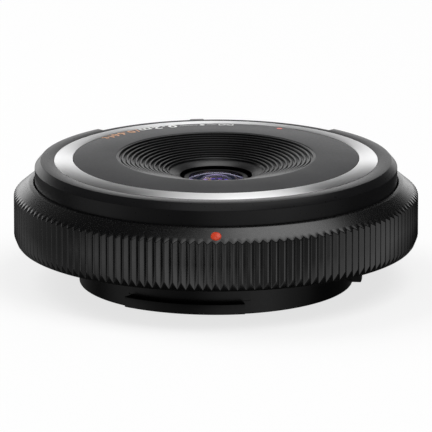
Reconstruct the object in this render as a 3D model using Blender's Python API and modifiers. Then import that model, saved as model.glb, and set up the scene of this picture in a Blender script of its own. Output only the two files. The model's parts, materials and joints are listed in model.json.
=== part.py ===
"""Pancake fisheye camera lens with a focus lever and a built-in two-blade lens barrier.

Sizes are in millimetres and are turned to metres where the meshes are made. The lens stands on the rear
edge of its bayonet: z = 0 is that edge, +Z points to the front, and the focus lever is on the +Y side.
"""
import math

import bmesh
import bpy
from mathutils import Matrix, Vector

MM = 0.001

# Fits
FIT = 0.05            # pieces that are bonded, clamped or screwed together
RUN = 0.15            # pieces that turn or slide past each other
SCREW_FIT = 0.05      # screw shank in its hole
THREAD_SKIN = 0.1     # left over the blind end of a screw hole
ROOT = 0.1            # how far a boss starts inside the wall that it stands on

# Mount
FLANGE_Z = 4.88       # plane that meets the camera
FLANGE_R = 22.8
FLANGE_T = 0.57
BAYONET_R = 18.96
BAYONET_BORE_R = 16.8
CLAW_R = 20.3
CLAW_LOW_Z = 0.31
CLAW_TOP_Z = 1.79
CLAW_START = 232.0    # degrees from +X
CLAW_SPAN = 49.3
LOCK_HOLE_R = 1.0
LOCK_HOLE_ANGLE = 205.0
MOUNT_SCREW_CIRCLE = 20.95
BAFFLE_LOW_Z = 4.4
BAFFLE_T = 0.5
BAFFLE_WINDOW = (13.0, 10.0)

# Grip shell
GRIP_R = 28.0
RIB_COUNT = 148
RIB_DEPTH = 0.41
RIB_CREST = 0.18
GRIP_FOOT_R = 27.5
GRIP_FOOT_Z = 5.52
GRIP_LOW_Z = 6.78
SHOULDER_SLOPE = 0.829
SHOULDER_R = 25.9
SHOULDER_Z = 14.04
SHELL_WALL = 1.8
DOT_R = 0.765
DOT_CIRCLE = 26.95
DOT_SINK = 0.35
DOT_RISE = 0.12
DOT_DOME = 3.2        # radius of its domed face

# Front
COVER_R = 25.09
COVER_TOP_R = 24.30
COVER_TOP_Z = 17.12
COVER_CHAMFER_Z = 16.17
COVER_WALL = 0.79
COVER_GAP = 0.2       # round the cover, inside the grip shell's mouth
COVER_LIP = 0.91
COVER_LIP_Z = (11.9, 12.7)
SEAT_Z = 16.65
SEAT_T = 1.95
BAND_R = 23.2
WINDOW_HALF_ANGLE = 43.0
WINDOW_FLOOR_Z = 15.4
TRIM_OUT_R = 22.38
TRIM_IN_R = 19.85
TRIM_OUT_Z = 17.15
TRIM_IN_Z = 17.41
FACE_R = 19.75
HOOD_MOUTH_R = 14.0
HOOD_MOUTH_Z = 17.66
HOOD_THROAT_R = 6.6
HOOD_THROAT_Z = 15.71
LEDGE_R = 6.0
LEDGE_Z = 15.43
HOOD_HOLE_R = 5.0
HOOD_HOLE_Z = 15.0
HOOD_UNDER_Z = 14.86
SKIRT_R = 19.0
SKIRT_LOW_Z = 14.5

# Barrier
BLADE_PIVOT_R = 14.5
BLADE_R = 5.35
BLADE_LAP = 0.1
BLADE_T = 0.10
BLADE_A_Z = 14.52
BLADE_B_Z = 14.68
HUB_R = 1.2
HUB_GAP = 0.25        # between the blades' hubs and the face ring
PIVOT_PIN_R = 0.6
STUD_ARM = 8.3        # from a blade's pivot to its drive stud
STUD_ANGLE = 14.0     # above the blade's straight edge
STUD_R = 0.45
STUD_LOBE = 0.9
STUD_LOW_Z = 13.95
PLATE_LOW_Z = 13.9
PLATE_T = 0.52
PLATE_INSET = 0.5     # its rim, inside the face ring's skirt
PLATE_HOLE_R = 8.9
PLATE_SCREW_CIRCLE = 17.5

# Focus
LEVER_ANGLE = 96.2    # at rest, degrees from +X
LEVER_CLOSED = -34.1  # degrees from rest: barrier shut
LEVER_NEAR = 19.7     # degrees from rest: nearest focus
INFINITY_STEP = -10.2
BLADE_RATIO = -0.70   # blade degrees per lever degree
LENS_RISE = 0.025     # millimetres per lever degree
DISC_R = 20.0
DISC_Z = (12.7, 13.75)
COLLAR_R = 8.6
COLLAR_TOP_Z = 14.3
SLEEVE_R = 11.5
SLEEVE_LOW_Z = 7.0
STEM_R = (23.65, 24.15)
STEM_W = 1.2
ARM_W = 2.6
KNOB_R = (23.3, 25.3)
KNOB_W = 2.1
KNOB_Z = (15.5, 16.8)
KNOB_EDGE = 0.15

# Chassis and lens block
CHASSIS_R = 26.8
CHASSIS_Z = (5.5, 6.6)
TUBE_R = 10.2
TUBE_BORE_R = 9.0
TUBE_TOP_Z = 12.3
POST_CIRCLE = 25.15
POST_R = 0.9
COVER_SCREW_ANGLES = (30.0, 150.0, 270.0)
PLATE_SCREW_ANGLES = (90.0, 210.0, 330.0)
MOUNT_SCREW_ANGLES = (60.0, 180.0, 300.0)
BARREL_R = 8.85
BARREL_Z = (7.2, 11.6)
NOSE_R = 4.9
NOSE_TOP_Z = 14.0
CELL_R = 4.4
CELL_TOP_Z = 14.55
CELL_BORE_R = 4.05
CELL_FLOOR_Z = 13.35
STOP_SHOULDER_Z = 12.6
STOP_SHOULDER_R = 3.0
LENS_BORE_R = 3.6
BARREL_REAR_Z = 6.5
FOLLOWER_R = 0.7
FOLLOWER_Z = 9.4
FOLLOWER_ANGLES = (30.0, 150.0, 270.0)
FOLLOWER_REACH = (7.6, 11.3)
DOME_Z = 15.2
DOME_RADIUS = 12.0
FRONT_GLASS_R = 4.0
FRONT_HOLLOW = 4.6    # radius of the front element's hollow rear face
FRONT_HOLLOW_R = 2.9
CLEAR_R = 2.7         # clear half-width of the inner elements
SECOND_CURVE = 9.0
SECOND_T = 1.3
STOP_R = 0.6
STOP_T = 0.2
SPACER_T = 0.6
THIRD_CURVE = 8.0
THIRD_T = 0.9
CEMENT_CURVE = 9.0
CEMENT = 0.02
FLINT_T = 0.95
CROWN_T = 0.8
REAR_CURVE = 14.0
RETAINER_T = 0.4
FRONT_RETAINER_T = 0.08
DETENT_ANGLE = 180.0
DETENT_NOTCH_R = 0.5
DETENT_BOSS_R = 1.3
DETENT_STRIP = (2.8, 2.4, 0.2)
DETENT_TONGUE = (0.2, 2.0, 1.0)
DETENT_GAP = 0.12     # between the spring and the focus disc

# Screws: head radius, head height, shank radius
M14 = (0.8, 0.5, 0.4)
M17 = (1.2, 0.3, 0.6)

OUTER_STEPS = 74      # facets round the outer pieces: two ribs to a facet
RING_STEPS = 54
INNER_STEPS = 32
GLASS_STEPS = 18
PIN_STEPS = 12

for old in list(bpy.data.objects):
    bpy.data.objects.remove(old, do_unlink=True)

PARTS = bpy.data.collections.new("camera_lens")
CUTTERS = bpy.data.collections.new("cutters")
bpy.context.scene.collection.children.link(PARTS)
bpy.context.scene.collection.children.link(CUTTERS)
CUTTERS.hide_render = True


def linear(code):
    """An sRGB hex colour as linear values with alpha."""
    parts = [int(code[i:i + 2], 16) / 255 for i in (0, 2, 4)]
    return [c / 12.92 if c <= 0.04045 else ((c + 0.055) / 1.055) ** 2.4 for c in parts] + [1.0]


def finish(name, code, roughness, metallic=0.0, transmission=0.0):
    """A Principled material with one colour."""
    material = bpy.data.materials.new(name)
    material.use_nodes = True
    shader = material.node_tree.nodes["Principled BSDF"]
    shader.inputs["Base Color"].default_value = linear(code)
    shader.inputs["Roughness"].default_value = roughness
    shader.inputs["Metallic"].default_value = metallic
    shader.inputs["Transmission Weight"].default_value = transmission
    return material


BLACK_PLASTIC = ("262627", 0.45)
SATIN_BLACK = ("4a4a4b", 0.4)
SILVER = ("dcdcdc", 0.3, 1.0)
STEEL = ("b4b6b8", 0.35, 1.0)
BLADE_BLACK = ("1b1b1c", 0.5, 0.6)
BRASS = ("b08d4a", 0.35, 1.0)
GLASS = ("f4f2ff", 0.02, 0.0, 1.0)
RED = ("c8432f", 0.4)


def add(name, mesh, look, collection=PARTS):
    """A new object for a mesh, as a part or as a hidden cutter."""
    obj = bpy.data.objects.new(name, mesh)
    collection.objects.link(obj)
    if collection is CUTTERS:
        obj.hide_render = True
        obj.display_type = "WIRE"
    else:
        mesh.materials.append(finish(name, *look))
        mesh.shade_smooth()
        mesh.set_sharp_from_angle(angle=math.radians(35))
    return obj


def turned(name, profile, look=None, steps=INNER_STEPS, start=270.0):
    """A solid of revolution from (radius, height) points in order round its section."""
    area = sum(a[0] * b[1] - b[0] * a[1] for a, b in zip(profile, profile[1:] + profile[:1]))
    points = profile if area < 0 else profile[::-1]
    on_axis = [i for i, (radius, _) in enumerate(points) if radius == 0]
    if on_axis:
        while not (points[0][0] == 0 and points[-1][0] == 0):
            points = points[1:] + points[:1]
    turn = Matrix.Rotation(math.radians(start), 4, "Z")
    edges = [(i, i + 1) for i in range(len(points) - 1)]
    if not on_axis:
        edges.append((len(points) - 1, 0))
    mesh = bpy.data.meshes.new(name)
    mesh.from_pydata([turn @ Vector((r * MM, 0, z * MM)) for r, z in points], edges, [])
    obj = add(name, mesh, look, PARTS if look else CUTTERS)
    screw = obj.modifiers.new("Turn", "SCREW")
    screw.axis = "Z"
    screw.steps = steps
    screw.render_steps = steps
    screw.use_merge_vertices = True
    screw.merge_threshold = 0.000001
    screw.use_smooth_shade = True
    return obj


def arc(radius, start, end, count, centre=(0.0, 0.0)):
    """Points along an arc, from one angle to the other in degrees."""
    angles = [math.radians(start + (end - start) * i / count) for i in range(count + 1)]
    return [(centre[0] + radius * math.cos(a), centre[1] + radius * math.sin(a)) for a in angles]


def plate(name, outlines, low, high, look=None):
    """A flat prism between two heights from closed outlines, the inner ones being holes."""
    curve = bpy.data.curves.new(name, "CURVE")
    curve.dimensions = "2D"
    curve.fill_mode = "BOTH"
    curve.extrude = (high - low) / 2 * MM
    for outline in outlines:
        spline = curve.splines.new("POLY")
        spline.points.add(len(outline) - 1)
        spline.use_cyclic_u = True
        for point, (x, y) in zip(spline.points, outline):
            point.co = (x * MM, y * MM, 0, 1)
    guide = bpy.data.objects.new(name + "_outline", curve)
    guide.location.z = (high + low) / 2 * MM
    CUTTERS.objects.link(guide)
    bpy.context.view_layer.update()
    mesh = bpy.data.meshes.new_from_object(guide.evaluated_get(bpy.context.evaluated_depsgraph_get()))
    mesh.transform(guide.matrix_world)
    bpy.data.objects.remove(guide, do_unlink=True)
    shape = bmesh.new()
    shape.from_mesh(mesh)
    bmesh.ops.remove_doubles(shape, verts=shape.verts, dist=0.000001)
    bmesh.ops.recalc_face_normals(shape, faces=shape.faces)
    shape.to_mesh(mesh)
    shape.free()
    mesh.name = name
    return add(name, mesh, look, PARTS if look else CUTTERS)


def sector(name, inner, outer, start, end, low, high, count=16):
    """A cutter or an added piece shaped as a stretch of a ring."""
    return plate(name, [arc(outer, start, end, count) + arc(inner, end, start, count)], low, high)


def rod(name, radius, low, high, x=0.0, y=0.0, look=None, steps=PIN_STEPS):
    """An upright cylinder."""
    return plate(name, [[(x + px, y + py) for px, py in arc(radius, 0, 360, steps)[:-1]]], low, high, look)


def block(name, size, centre, turn=0.0, look=None):
    """A box that is turned about +Z, given in the turned axes."""
    shape = bmesh.new()
    bmesh.ops.create_cube(shape, size=MM)
    bmesh.ops.scale(shape, vec=size, verts=shape.verts)
    bmesh.ops.translate(shape, vec=[c * MM for c in centre], verts=shape.verts)
    spin = Matrix.Rotation(math.radians(turn), 3, "Z")
    bmesh.ops.rotate(shape, cent=(0, 0, 0), matrix=spin, verts=shape.verts)
    mesh = bpy.data.meshes.new(name)
    shape.to_mesh(mesh)
    shape.free()
    return add(name, mesh, look, PARTS if look else CUTTERS)


def boolean(target, operand, operation="DIFFERENCE"):
    """Cuts one object with another, or joins the two."""
    modifier = target.modifiers.new(operand.name, "BOOLEAN")
    modifier.operation = operation
    modifier.solver = "EXACT"
    modifier.object = operand


def polar(radius, degrees):
    """The point at a radius and an angle from +X."""
    return radius * math.cos(math.radians(degrees)), radius * math.sin(math.radians(degrees))


def sagitta(radius, reach):
    """How far a sphere has dropped at a distance from its pole."""
    return radius - math.sqrt(radius * radius - reach * reach)


def bowl(radius, reach, height, count=4):
    """Points of a spherical face from the axis outwards; a negative radius curves it upwards."""
    sign = 1 if radius > 0 else -1
    steps = [reach * i / count for i in range(count + 1)]
    return [(r, height - sign * sagitta(abs(radius), r)) for r in steps]


def hull(points):
    """The convex outline round a set of points, anticlockwise."""
    points = sorted(set(points))
    sides = []
    for order in (points, points[::-1]):
        side = []
        for p in order:
            while len(side) > 1:
                (ax, ay), (bx, by) = side[-2:]
                if (bx - ax) * (p[1] - ay) - (by - ay) * (p[0] - ax) > 0:
                    break
                side.pop()
            side.append(p)
        sides += side[:-1]
    return sides


def empty(name, x=0.0, parent=None):
    """A joint axis along +Z."""
    obj = bpy.data.objects.new(name, None)
    PARTS.objects.link(obj)
    obj.location = (x * MM, 0, 0)
    obj.parent = parent
    return obj


def screw(name, size, look, circle, degrees, seat, tip):
    """A pan-head screw whose head sits at one height and whose shank ends at another."""
    head_r, head_h, shank_r = size
    up = 1 if tip > seat else -1
    head = seat - up * head_h
    profile = [(0, head), (head_r, head), (head_r, seat), (shank_r, seat), (shank_r, tip), (0, tip)]
    obj = turned(name, profile, look, PIN_STEPS)
    x, y = polar(circle, degrees)
    obj.location = (x * MM, y * MM, 0)
    return obj


def screw_hole(target, name, size, circle, degrees, seat, tip, face):
    """The hole for a shank, and a counterbore for the head up from the open face below to the seat."""
    x, y = polar(circle, degrees)
    floor = seat + FIT
    boolean(target, rod(name + "_hole", size[2] + SCREW_FIT, face, tip, x, y))
    boolean(target, rod(name + "_bore", size[0] + 2 * SCREW_FIT, face, floor, x, y))


def make_mount():
    """The bayonet plate with its three claws, its screws and the rear light baffle."""
    top = FLANGE_Z + FLANGE_T
    plate_profile = [
        (BAYONET_BORE_R, 0), (BAYONET_R, 0), (BAYONET_R, FLANGE_Z), (FLANGE_R, FLANGE_Z),
        (FLANGE_R, top), (BAYONET_BORE_R, top),
    ]
    mount = turned("mount_plate", plate_profile, BLACK_PLASTIC, RING_STEPS)
    for index in range(3):
        start = CLAW_START + 120 * index
        claw = sector(f"claw_{index + 1}", BAYONET_R - 0.6, CLAW_R, start, start + CLAW_SPAN,
                      CLAW_LOW_Z, CLAW_TOP_Z, 10)
        boolean(mount, claw, "UNION")
    x, y = polar(MOUNT_SCREW_CIRCLE, LOCK_HOLE_ANGLE)
    boolean(mount, rod("lock_hole", LOCK_HOLE_R, FLANGE_Z - 1, top + 1, x, y))
    head_seat = FLANGE_Z + M17[1]
    for index, degrees in enumerate(MOUNT_SCREW_ANGLES):
        name = f"mount_screw_{index + 1}"
        screw(name, M17, STEEL, MOUNT_SCREW_CIRCLE, degrees, head_seat, CHASSIS_Z[1] - 0.3)
        screw_hole(mount, name, M17, MOUNT_SCREW_CIRCLE, degrees, head_seat, top + 1, FLANGE_Z - 1)
    rim = BAYONET_BORE_R - RUN
    low = BAFFLE_LOW_Z
    high = low + BAFFLE_T
    wide, tall = (side / 2 for side in BAFFLE_WINDOW)
    window = [(-wide, -tall), (wide, -tall), (wide, tall), (-wide, tall)]
    plate("rear_baffle", [arc(rim, 0, 360, INNER_STEPS)[:-1], window], low, high, BLACK_PLASTIC)


def rib_outline():
    """The toothed outline of the grip, with the middle of a crest at -Y."""
    pitch = 360 / RIB_COUNT
    half = math.degrees(RIB_CREST / 2 / GRIP_R)
    points = []
    for index in range(RIB_COUNT):
        middle = 270 + pitch * index
        points.append(polar(GRIP_R, middle - half))
        points.append(polar(GRIP_R, middle + half))
        points.append(polar(GRIP_R - RIB_DEPTH, middle + pitch / 2))
    return points


def make_shell():
    """The ribbed grip shell with its sloping shoulder, and the mount index dot set into it."""
    reach = GRIP_R + 0.05
    inner = GRIP_R - SHELL_WALL
    mouth = COVER_R + COVER_GAP
    foot_slope = (GRIP_R - GRIP_FOOT_R) / (GRIP_LOW_Z - GRIP_FOOT_Z)
    profile = [
        (mouth, SHOULDER_Z + 0.1), (SHOULDER_R, SHOULDER_Z),
        (reach, SHOULDER_Z - SHOULDER_SLOPE * (reach - SHOULDER_R)),
        (reach, GRIP_FOOT_Z + (reach - GRIP_FOOT_R) / foot_slope), (GRIP_FOOT_R, GRIP_FOOT_Z),
        (CHASSIS_R + 2 * FIT, GRIP_FOOT_Z), (CHASSIS_R + 2 * FIT, CHASSIS_Z[1] + 2 * FIT),
        (inner, CHASSIS_Z[1] + 2 * FIT), (inner, COVER_LIP_Z[1] + RUN), (mouth, COVER_LIP_Z[1] + RUN),
    ]
    shell = turned("grip_shell", profile, BLACK_PLASTIC, OUTER_STEPS)
    ribs = plate("rib_outline", [rib_outline()], GRIP_FOOT_Z - 1, SHOULDER_Z + 1)
    boolean(shell, ribs, "INTERSECT")
    height = SHOULDER_Z - SHOULDER_SLOPE * (DOT_CIRCLE - SHOULDER_R)
    place = Matrix.Translation((0, -DOT_CIRCLE * MM, height * MM))
    place @= Matrix.Rotation(math.atan(SHOULDER_SLOPE), 4, "X")
    seat = turned("dot_seat", [(0, 1), (DOT_R + FIT, 1), (DOT_R + FIT, -DOT_SINK - FIT), (0, -DOT_SINK - FIT)],
                  steps=GLASS_STEPS)
    seat.matrix_world = place
    boolean(shell, seat)
    section = bowl(DOT_DOME, DOT_R, DOT_RISE, 3) + [(DOT_R, -DOT_SINK), (0, -DOT_SINK)]
    dot = turned("index_dot", section, RED, GLASS_STEPS)
    dot.matrix_world = place


def make_front():
    """The front cover with its lever window, the silver trim ring, and the face ring with its hood."""
    wall = COVER_R - COVER_WALL
    lip = COVER_R + COVER_LIP
    profile = [
        (TRIM_OUT_R + FIT, TRIM_OUT_Z), (COVER_TOP_R, COVER_TOP_Z), (COVER_R, COVER_CHAMFER_Z),
        (COVER_R, COVER_LIP_Z[1]), (lip, COVER_LIP_Z[1]), (lip, COVER_LIP_Z[0]), (wall, COVER_LIP_Z[0]),
        (wall, SEAT_Z - SEAT_T), (SKIRT_R + 2 * FIT, SEAT_Z - SEAT_T), (SKIRT_R + 2 * FIT, SEAT_Z),
        (TRIM_OUT_R + FIT, SEAT_Z),
    ]
    cover = turned("front_cover", profile, SATIN_BLACK, OUTER_STEPS)
    window = sector("lever_window", BAND_R, COVER_R + 2, 90 - WINDOW_HALF_ANGLE, 90 + WINDOW_HALF_ANGLE,
                    WINDOW_FLOOR_Z, COVER_TOP_Z + 1, 18)
    boolean(cover, window)
    reach = math.degrees((STEM_W / 2 + RUN) / STEM_R[0])
    slot = sector("stem_slot", STEM_R[0] - 0.1, STEM_R[1] + 0.1, LEVER_ANGLE + LEVER_CLOSED - reach,
                  LEVER_ANGLE + LEVER_NEAR + reach, SEAT_Z - SEAT_T - 1, WINDOW_FLOOR_Z + 1, 24)
    boolean(cover, slot)
    for index, degrees in enumerate(COVER_SCREW_ANGLES):
        x, y = polar(POST_CIRCLE, degrees)
        tip = COVER_LIP_Z[1] - THREAD_SKIN
        hole = rod(f"cover_thread_{index + 1}", M14[2] + SCREW_FIT, COVER_LIP_Z[0] - 1, tip, x, y)
        boolean(cover, hole)
    trim = [
        (TRIM_IN_R, SEAT_Z + FIT), (TRIM_OUT_R, SEAT_Z + FIT), (TRIM_OUT_R, TRIM_OUT_Z), (TRIM_IN_R, TRIM_IN_Z),
    ]
    turned("trim_ring", trim, SILVER, OUTER_STEPS)
    cavity = BLADE_PIVOT_R + HUB_R + HUB_GAP
    face = [
        (FACE_R, TRIM_IN_Z), (FACE_R, SEAT_Z + FIT), (SKIRT_R, SEAT_Z + FIT), (SKIRT_R, SKIRT_LOW_Z),
        (cavity, SKIRT_LOW_Z), (cavity, HOOD_UNDER_Z), (HOOD_HOLE_R, HOOD_UNDER_Z), (HOOD_HOLE_R, HOOD_HOLE_Z),
        (LEDGE_R, LEDGE_Z), (HOOD_THROAT_R, HOOD_THROAT_Z), (HOOD_MOUTH_R - 0.3, HOOD_MOUTH_Z - 0.06),
        (HOOD_MOUTH_R, HOOD_MOUTH_Z),
    ]
    ring = turned("name_ring", face, SATIN_BLACK, RING_STEPS)
    for index, degrees in enumerate(PLATE_SCREW_ANGLES):
        x, y = polar(PLATE_SCREW_CIRCLE, degrees)
        hole = rod(f"plate_thread_{index + 1}", M14[2] + SCREW_FIT, SKIRT_LOW_Z - 1, SEAT_Z - 0.4, x, y)
        boolean(ring, hole)


def blade_outline():
    """A barrier blade about its pivot: half a disc, an arm to the hub, and a lobe for the drive stud."""
    stud = polar(STUD_ARM, STUD_ANGLE)
    outline = arc(HUB_R, 90, 270, 8)
    outline += arc(BLADE_R, 195, 360, 18, (BLADE_PIVOT_R, 0))
    outline += [(BLADE_PIVOT_R + BLADE_R, BLADE_LAP), (BLADE_PIVOT_R - BLADE_R + 0.5, BLADE_LAP)]
    outline += arc(STUD_LOBE, -30, 110, 6, stud)
    return outline


def make_barrier(axes):
    """The two blades, the plate that carries them, and its screws."""
    hole = arc(PIVOT_PIN_R + 0.1, 0, 360, PIN_STEPS)[:-1]
    stud = polar(STUD_ARM, STUD_ANGLE)
    opened = BLADE_RATIO * -LEVER_CLOSED
    for letter, low, start in (("a", BLADE_A_Z, 0), ("b", BLADE_B_Z, 180)):
        blade = plate(f"blade_{letter}", [blade_outline(), hole], low, low + BLADE_T, BLADE_BLACK)
        post = rod(f"stud_{letter}", STUD_R, STUD_LOW_Z, low + BLADE_T / 2, *stud)
        boolean(blade, post, "UNION")
        for piece in (blade, post):
            piece.parent = axes[letter]
        axes[letter].rotation_euler.z = math.radians(start + opened)
    top = PLATE_LOW_Z + PLATE_T
    rim = SKIRT_R - PLATE_INSET
    rings = [arc(radius, 0, 360, INNER_STEPS)[:-1] for radius in (rim, PLATE_HOLE_R)]
    carrier = plate("barrier_plate", rings, PLATE_LOW_Z, top, BLADE_BLACK)
    for name, side in (("pivot_pin_a", -1), ("pivot_pin_b", 1)):
        pin = rod(name, PIVOT_PIN_R, PLATE_LOW_Z + 0.1, BLADE_B_Z + BLADE_T + 0.02, side * BLADE_PIVOT_R)
        boolean(carrier, pin, "UNION")
    size = (M14[0], 0.2, M14[2])
    for index, degrees in enumerate(PLATE_SCREW_ANGLES):
        name = f"plate_screw_{index + 1}"
        seat = PLATE_LOW_Z + size[1] + FIT
        screw(name, size, STEEL, PLATE_SCREW_CIRCLE, degrees, seat, SEAT_Z - 0.6)
        screw_hole(carrier, name, size, PLATE_SCREW_CIRCLE, degrees, seat, top + 1, PLATE_LOW_Z - 1)


def stud_pocket():
    """The pocket in the focus collar for blade A's stud: every place of the stud, as the collar sees it."""
    points = []
    count = 12
    for index in range(count + 1):
        lever = LEVER_CLOSED + (LEVER_NEAR - LEVER_CLOSED) * index / count
        swing = STUD_ANGLE + BLADE_RATIO * (lever - LEVER_CLOSED)
        x, y = polar(STUD_ARM, swing)
        reach = math.hypot(x - BLADE_PIVOT_R, y)
        bearing = math.degrees(math.atan2(y, x - BLADE_PIVOT_R)) - lever
        points += arc(STUD_R + 0.1, 0, 360, PIN_STEPS, polar(reach, bearing))[:-1]
    return hull(points)


def make_focus(axis):
    """The focus ring with its collar, sleeve, lever arm and stem, and the knob on the stem."""
    low, high = DISC_Z
    bore = HOOD_HOLE_R + 0.2
    profile = [
        (bore, COLLAR_TOP_Z), (COLLAR_R, COLLAR_TOP_Z), (COLLAR_R, high), (DISC_R, high), (DISC_R, low),
        (SLEEVE_R, low), (SLEEVE_R, SLEEVE_LOW_Z), (TUBE_R + 0.1, SLEEVE_LOW_Z), (TUBE_R + 0.1, low),
        (bore, low),
    ]
    ring = turned("focus_ring", profile, BLACK_PLASTIC)
    arm_low = DISC_R - 1
    arm_end = STEM_R[1] - FIT
    arm = block("lever_arm", (arm_end - arm_low, ARM_W, high - low - 2 * FIT),
                ((arm_end + arm_low) / 2, 0, (high + low) / 2), LEVER_ANGLE)
    boolean(ring, arm, "UNION")
    stem_top = KNOB_Z[1] - 0.5
    stem = block("lever_stem", (STEM_R[1] - STEM_R[0], STEM_W, stem_top - high + 0.3),
                 ((STEM_R[1] + STEM_R[0]) / 2, 0, (stem_top + high - 0.3) / 2), LEVER_ANGLE)
    boolean(ring, stem, "UNION")
    for letter, turn in (("a", 0), ("b", 180)):
        rotated = [polar(math.hypot(*p), math.degrees(math.atan2(p[1], p[0])) + turn) for p in stud_pocket()]
        boolean(ring, plate(f"stud_pocket_{letter}", [rotated], STUD_LOW_Z - 0.1, COLLAR_TOP_Z + 1))
    for index, degrees in enumerate(FOLLOWER_ANGLES):
        top = FOLLOWER_Z + LENS_RISE * LEVER_NEAR + FOLLOWER_R + RUN
        size = (SLEEVE_R - TUBE_R + 1, 2 * (FOLLOWER_R + FIT), top - SLEEVE_LOW_Z + 1)
        slot = block(f"sleeve_slot_{index + 1}", size,
                     ((SLEEVE_R + TUBE_R) / 2 + 0.2, 0, (top + SLEEVE_LOW_Z - 1) / 2), degrees)
        boolean(ring, slot)
    for index, step in enumerate((0, INFINITY_STEP, LEVER_CLOSED)):
        x, y = polar(DISC_R + 0.1, DETENT_ANGLE - step)
        boolean(ring, rod(f"detent_notch_{index + 1}", DETENT_NOTCH_R, low - 1, high + 1, x, y, steps=8))
    knob_low, knob_high = KNOB_Z
    knob = block("focus_knob", (KNOB_R[1] - KNOB_R[0], KNOB_W, knob_high - knob_low),
                 ((KNOB_R[1] + KNOB_R[0]) / 2, 0, (knob_high + knob_low) / 2), LEVER_ANGLE, SATIN_BLACK)
    bevel = knob.modifiers.new("Edges", "BEVEL")
    bevel.width = KNOB_EDGE * MM
    bevel.segments = 2
    floor = stem_top + FIT
    size = (STEM_R[1] - STEM_R[0] + 2 * FIT, STEM_W + 2 * FIT, floor - knob_low + 1)
    middle = (STEM_R[1] + STEM_R[0]) / 2
    socket = block("knob_socket", size, (middle, 0, (floor + knob_low - 1) / 2), LEVER_ANGLE)
    boolean(knob, socket)
    for piece in (ring, knob):
        piece.parent = axis


def cam_slot(name, degrees):
    """A helical slot in the cam tube: a box stretched into slices and wound round the axis."""
    shape = bmesh.new()
    bmesh.ops.create_cube(shape, size=1.0)
    long_edges = [e for e in shape.edges if abs(e.verts[0].co.x - e.verts[1].co.x) > 0.5]
    bmesh.ops.subdivide_edges(shape, edges=long_edges, cuts=8, use_grid_fill=True)
    margin = math.degrees((FOLLOWER_R + RUN) / TUBE_R)
    span = LEVER_NEAR - LEVER_CLOSED + 2 * margin
    middle = (LEVER_NEAR + LEVER_CLOSED) / 2
    for vert in shape.verts:
        lever = middle + span * vert.co.x
        radius = (TUBE_R + TUBE_BORE_R) / 2 - (TUBE_R - TUBE_BORE_R + 0.6) * vert.co.y
        x, y = polar(radius, degrees + lever)
        height = FOLLOWER_Z + LENS_RISE * lever + 2 * (FOLLOWER_R + RUN) * vert.co.z
        vert.co = (x * MM, y * MM, height * MM)
    mesh = bpy.data.meshes.new(name)
    shape.to_mesh(mesh)
    shape.free()
    return add(name, mesh, None, CUTTERS)


def make_chassis():
    """The chassis with its cam tube and posts, the cover screws, the washer and the detent spring."""
    low, high = CHASSIS_Z
    profile = [
        (TUBE_BORE_R, low), (CHASSIS_R, low), (CHASSIS_R, high), (TUBE_R, high), (TUBE_R, TUBE_TOP_Z),
        (TUBE_BORE_R, TUBE_TOP_Z),
    ]
    chassis = turned("chassis", profile, BLACK_PLASTIC)
    for index, degrees in enumerate(FOLLOWER_ANGLES):
        boolean(chassis, cam_slot(f"cam_slot_{index + 1}", degrees))
    post_top = COVER_LIP_Z[0] - 2 * FIT
    seat = low + M14[1] + FIT
    for index, degrees in enumerate(COVER_SCREW_ANGLES):
        name = f"cover_screw_{index + 1}"
        x, y = polar(POST_CIRCLE, degrees)
        boolean(chassis, rod(f"post_{index + 1}", POST_R, high - ROOT, post_top, x, y), "UNION")
        screw(name, M14, STEEL, POST_CIRCLE, degrees, seat, COVER_LIP_Z[1] - 0.2)
        screw_hole(chassis, name, M14, POST_CIRCLE, degrees, seat, post_top + 1, low - 1)
    for index, degrees in enumerate(MOUNT_SCREW_ANGLES):
        x, y = polar(MOUNT_SCREW_CIRCLE, degrees)
        boolean(chassis, rod(f"mount_thread_{index + 1}", M17[2] + SCREW_FIT, low - 1, high - 0.2, x, y))
    washer = [(TUBE_BORE_R + 0.1, TUBE_TOP_Z + FIT), (TUBE_R - 0.05, TUBE_TOP_Z + FIT),
              (TUBE_R - 0.05, DISC_Z[0] - 0.1), (TUBE_BORE_R + 0.1, DISC_Z[0] - 0.1)]
    turned("wave_washer", washer, STEEL)
    foot_top = DISC_Z[0] - 0.25
    boss_circle = DISC_R + 1.75
    x, y = polar(boss_circle, DETENT_ANGLE)
    boolean(chassis, rod("detent_boss", DETENT_BOSS_R, high - ROOT, foot_top, x, y), "UNION")
    thread_tip = foot_top - 2
    boolean(chassis, rod("detent_thread", M14[2] + SCREW_FIT, thread_tip, foot_top + 1, x, y))
    strip_low = foot_top + FIT
    long, _, thick = DETENT_STRIP
    strip_high = strip_low + thick
    near = DISC_R + DETENT_GAP
    middle = (near + long / 2, 0, strip_low + thick / 2)
    spring = block("detent_spring", DETENT_STRIP, middle, DETENT_ANGLE, STEEL)
    rise = strip_high + DETENT_TONGUE[2] / 2 - ROOT
    tongue = block("detent_tongue", DETENT_TONGUE, (near + DETENT_TONGUE[0] / 2, 0, rise), DETENT_ANGLE)
    boolean(spring, tongue, "UNION")
    boolean(spring, rod("detent_strip_hole", M14[2] + SCREW_FIT, strip_low - 1, strip_high + 1, x, y))
    screw("detent_screw", M14, STEEL, boss_circle, DETENT_ANGLE, strip_high + FIT, thread_tip + 0.2)


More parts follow.
